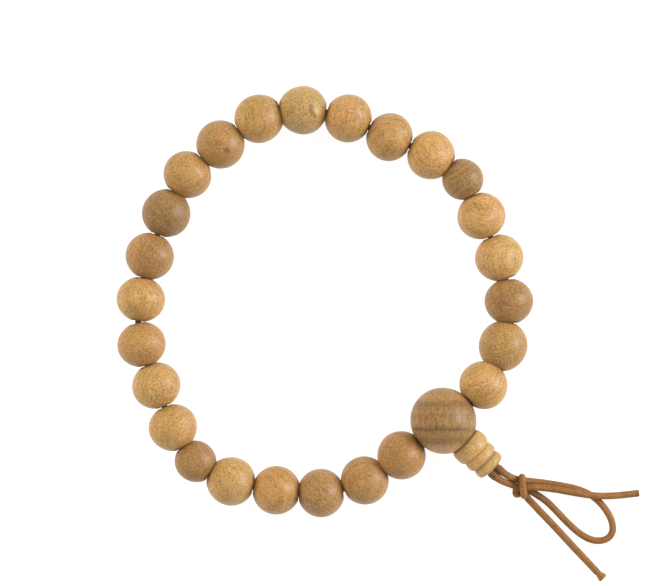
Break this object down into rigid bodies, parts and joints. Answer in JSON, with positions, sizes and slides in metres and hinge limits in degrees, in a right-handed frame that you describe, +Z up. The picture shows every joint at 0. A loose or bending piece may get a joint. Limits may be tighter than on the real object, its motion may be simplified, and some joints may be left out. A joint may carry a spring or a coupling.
{
  "type": "mala prayer beads",
  "caption": "Wrist mala: a loop of round wooden beads on elastic cord, with smaller marker beads, a large guru bead, a ringed stupa bead and a bow-tied cord tassel.",
  "frame": {"origin": "middle of the bead loop, at the height of the table it lies on", "axes": "+Z up out of the table along the axis of the loop, -Y towards the guru bead and its tassel, +X to the right seen from above with the guru bead nearest"},
  "size_m": [0.0703, 0.0991, 0.011],
  "materials": {
    "counting_bead_wood": "satin polished sandalwood",
    "marker_bead_wood": "satin polished darker sandalwood",
    "guru_bead_wood": "satin polished sandalwood, fine grain",
    "stupa_bead_wood": "satin turned pale wood",
    "elastic_cord": "matte braided elastic cord"
  },
  "bodies": {
    "cord_front": {"cord_front": "elastic_cord"},
    "cord_right": {"cord_right": "elastic_cord"},
    "cord_back": {"cord_back": "elastic_cord"},
    "cord_left": {"cord_left": "elastic_cord"},
    "guru": {"guru_bead": "guru_bead_wood", "strand_loop": "elastic_cord", "strand_tail": "elastic_cord", "bow_knot": "elastic_cord"},
    "stupa": {"stupa_bead": "stupa_bead_wood"},
    "bead_01": {"counting_bead_01": "counting_bead_wood"},
    "bead_02": {"counting_bead_02": "counting_bead_wood"},
    "bead_03": {"counting_bead_03": "counting_bead_wood"},
    "bead_04": {"counting_bead_04": "counting_bead_wood"},
    "bead_05": {"counting_bead_05": "counting_bead_wood"},
    "marker_bead_right": {"marker_bead_right": "marker_bead_wood"},
    "bead_06": {"counting_bead_06": "counting_bead_wood"},
    "bead_07": {"counting_bead_07": "counting_bead_wood"},
    "bead_08": {"counting_bead_08": "counting_bead_wood"},
    "bead_09": {"counting_bead_09": "counting_bead_wood"},
    "bead_10": {"counting_bead_10": "counting_bead_wood"},
    "bead_11": {"counting_bead_11": "counting_bead_wood"},
    "bead_12": {"counting_bead_12": "counting_bead_wood"},
    "bead_13": {"counting_bead_13": "counting_bead_wood"},
    "bead_14": {"counting_bead_14": "counting_bead_wood"},
    "bead_15": {"counting_bead_15": "counting_bead_wood"},
    "bead_16": {"counting_bead_16": "counting_bead_wood"},
    "bead_17": {"counting_bead_17": "counting_bead_wood"},
    "bead_18": {"counting_bead_18": "counting_bead_wood"},
    "marker_bead_left": {"marker_bead_left": "marker_bead_wood"},
    "bead_19": {"counting_bead_19": "counting_bead_wood"},
    "bead_20": {"counting_bead_20": "counting_bead_wood"},
    "bead_21": {"counting_bead_21": "counting_bead_wood"},
    "bead_22": {"counting_bead_22": "counting_bead_wood"},
    "bead_23": {"counting_bead_23": "counting_bead_wood"}
  },
  "joints": [
    {"name": "loop_flex", "type": "hinge", "parent": "cord_front", "child": "cord_right", "pos_m": [0.02274, -0.01766, 0.004], "axis": [0, 0, 1], "range_deg": [-14, 14]},
    {"name": "loop_flex_back", "type": "hinge", "parent": "cord_right", "child": "cord_back", "pos_m": [0.02148, 0.02141, 0.004], "axis": [0, 0, 1], "range_deg": [-14, 14]},
    {"name": "loop_flex_left", "type": "hinge", "parent": "cord_front", "child": "cord_left", "pos_m": [-0.01897, -0.02282, 0.004], "axis": [0, 0, 1], "range_deg": [-14, 14]},
    {"name": "guru_swing", "type": "hinge", "parent": "cord_front", "child": "guru", "pos_m": [0.00003, -0.02731, 0.0055], "axis": [-0.9962, 0.0872, 0], "range_deg": [0, 180]},
    {"name": "stupa_spin", "type": "hinge", "parent": "guru", "child": "stupa", "pos_m": [0.00017, -0.03526, 0.00466], "axis": [0.0174, -0.9944, -0.1045], "continuous": true},
    {"name": "bead_01_spin", "type": "hinge", "parent": "cord_front", "child": "bead_01", "pos_m": [0.0087, -0.02784, 0.00477], "axis": [0.9779, 0.0341, -0.2065], "continuous": true},
    {"name": "bead_02_spin", "type": "hinge", "parent": "cord_front", "child": "bead_02", "pos_m": [0.01569, -0.02555, 0.004], "axis": [0.8657, 0.5005, 0], "continuous": true},
    {"name": "bead_03_spin", "type": "hinge", "parent": "cord_front", "child": "bead_03", "pos_m": [0.02149, -0.02107, 0.004], "axis": [0.6552, 0.7554, 0], "continuous": true},
    {"name": "bead_04_spin", "type": "hinge", "parent": "cord_right", "child": "bead_04", "pos_m": [0.02538, -0.01489, 0.004], "axis": [0.4055, 0.9141, 0], "continuous": true},
    {"name": "bead_05_spin", "type": "hinge", "parent": "cord_right", "child": "bead_05", "pos_m": [0.02809, -0.00813, 0.004], "axis": [0.3895, 0.921, 0], "continuous": true},
    {"name": "marker_bead_right_spin", "type": "hinge", "parent": "cord_right", "child": "marker_bead_right", "pos_m": [0.0302, -0.00175, 0.004], "axis": [0.1547, 0.988, 0], "continuous": true},
    {"name": "bead_06_spin", "type": "hinge", "parent": "cord_right", "child": "bead_06", "pos_m": [0.02928, 0.00499, 0.004], "axis": [-0.3434, 0.9392, 0], "continuous": true},
    {"name": "bead_07_spin", "type": "hinge", "parent": "cord_right", "child": "bead_07", "pos_m": [0.02664, 0.01172, 0.004], "axis": [-0.3597, 0.9331, 0], "continuous": true},
    {"name": "bead_08_spin", "type": "hinge", "parent": "cord_right", "child": "bead_08", "pos_m": [0.02407, 0.0186, 0.004], "axis": [-0.392, 0.92, 0], "continuous": true},
    {"name": "bead_09_spin", "type": "hinge", "parent": "cord_back", "child": "bead_09", "pos_m": [0.01982, 0.02477, 0.004], "axis": [-0.6828, 0.7306, 0], "continuous": true},
    {"name": "bead_10_spin", "type": "hinge", "parent": "cord_back", "child": "bead_10", "pos_m": [0.01356, 0.02898, 0.004], "axis": [-0.9512, 0.3085, 0], "continuous": true},
    {"name": "bead_11_spin", "type": "hinge", "parent": "cord_back", "child": "bead_11", "pos_m": [0.00623, 0.0304, 0.004], "axis": [-0.9926, 0.1216, 0], "continuous": true},
    {"name": "bead_12_spin", "type": "hinge", "parent": "cord_back", "child": "bead_12", "pos_m": [-0.00105, 0.03075, 0.004], "axis": [-0.9962, -0.0871, 0], "continuous": true},
    {"name": "bead_13_spin", "type": "hinge", "parent": "cord_back", "child": "bead_13", "pos_m": [-0.0081, 0.02869, 0.004], "axis": [-0.9137, -0.4063, 0], "continuous": true},
    {"name": "bead_14_spin", "type": "hinge", "parent": "cord_back", "child": "bead_14", "pos_m": [-0.01484, 0.0257, 0.004], "axis": [-0.8913, -0.4535, 0], "continuous": true},
    {"name": "bead_15_spin", "type": "hinge", "parent": "cord_back", "child": "bead_15", "pos_m": [-0.0209, 0.0217, 0.004], "axis": [-0.7991, -0.6012, 0], "continuous": true},
    {"name": "bead_16_spin", "type": "hinge", "parent": "cord_left", "child": "bead_16", "pos_m": [-0.02604, 0.0164, 0.004], "axis": [-0.531, -0.8474, 0], "continuous": true},
    {"name": "bead_17_spin", "type": "hinge", "parent": "cord_left", "child": "bead_17", "pos_m": [-0.02913, 0.00989, 0.004], "axis": [-0.3759, -0.9267, 0], "continuous": true},
    {"name": "bead_18_spin", "type": "hinge", "parent": "cord_left", "child": "bead_18", "pos_m": [-0.03196, 0.00329, 0.004], "axis": [-0.3596, -0.9331, 0], "continuous": true},
    {"name": "marker_bead_left_spin", "type": "hinge", "parent": "cord_left", "child": "marker_bead_left", "pos_m": [-0.03331, -0.00332, 0.004], "axis": [-0.0018, -1, 0], "continuous": true},
    {"name": "bead_19_spin", "type": "hinge", "parent": "cord_left", "child": "bead_19", "pos_m": [-0.03145, -0.0099, 0.004], "axis": [0.4836, -0.8753, 0], "continuous": true},
    {"name": "bead_20_spin", "type": "hinge", "parent": "cord_left", "child": "bead_20", "pos_m": [-0.02733, -0.016, 0.004], "axis": [0.5868, -0.8098, 0], "continuous": true},
    {"name": "bead_21_spin", "type": "hinge", "parent": "cord_left", "child": "bead_21", "pos_m": [-0.02246, -0.02156, 0.004], "axis": [0.7654, -0.6436, 0], "continuous": true},
    {"name": "bead_22_spin", "type": "hinge", "parent": "cord_front", "child": "bead_22", "pos_m": [-0.01599, -0.02513, 0.004], "axis": [0.9509, -0.3096, 0], "continuous": true},
    {"name": "bead_23_spin", "type": "hinge", "parent": "cord_front", "child": "bead_23", "pos_m": [-0.00874, -0.02648, 0.00476], "axis": [0.9741, -0.1027, 0.2013], "continuous": true}
  ],
  "couplings": [
    {"joint": "loop_flex_left", "follows": "loop_flex", "ratio": 0.9375},
    {"joint": "loop_flex_back", "follows": "loop_flex", "ratio": -0.9419}
  ]
}
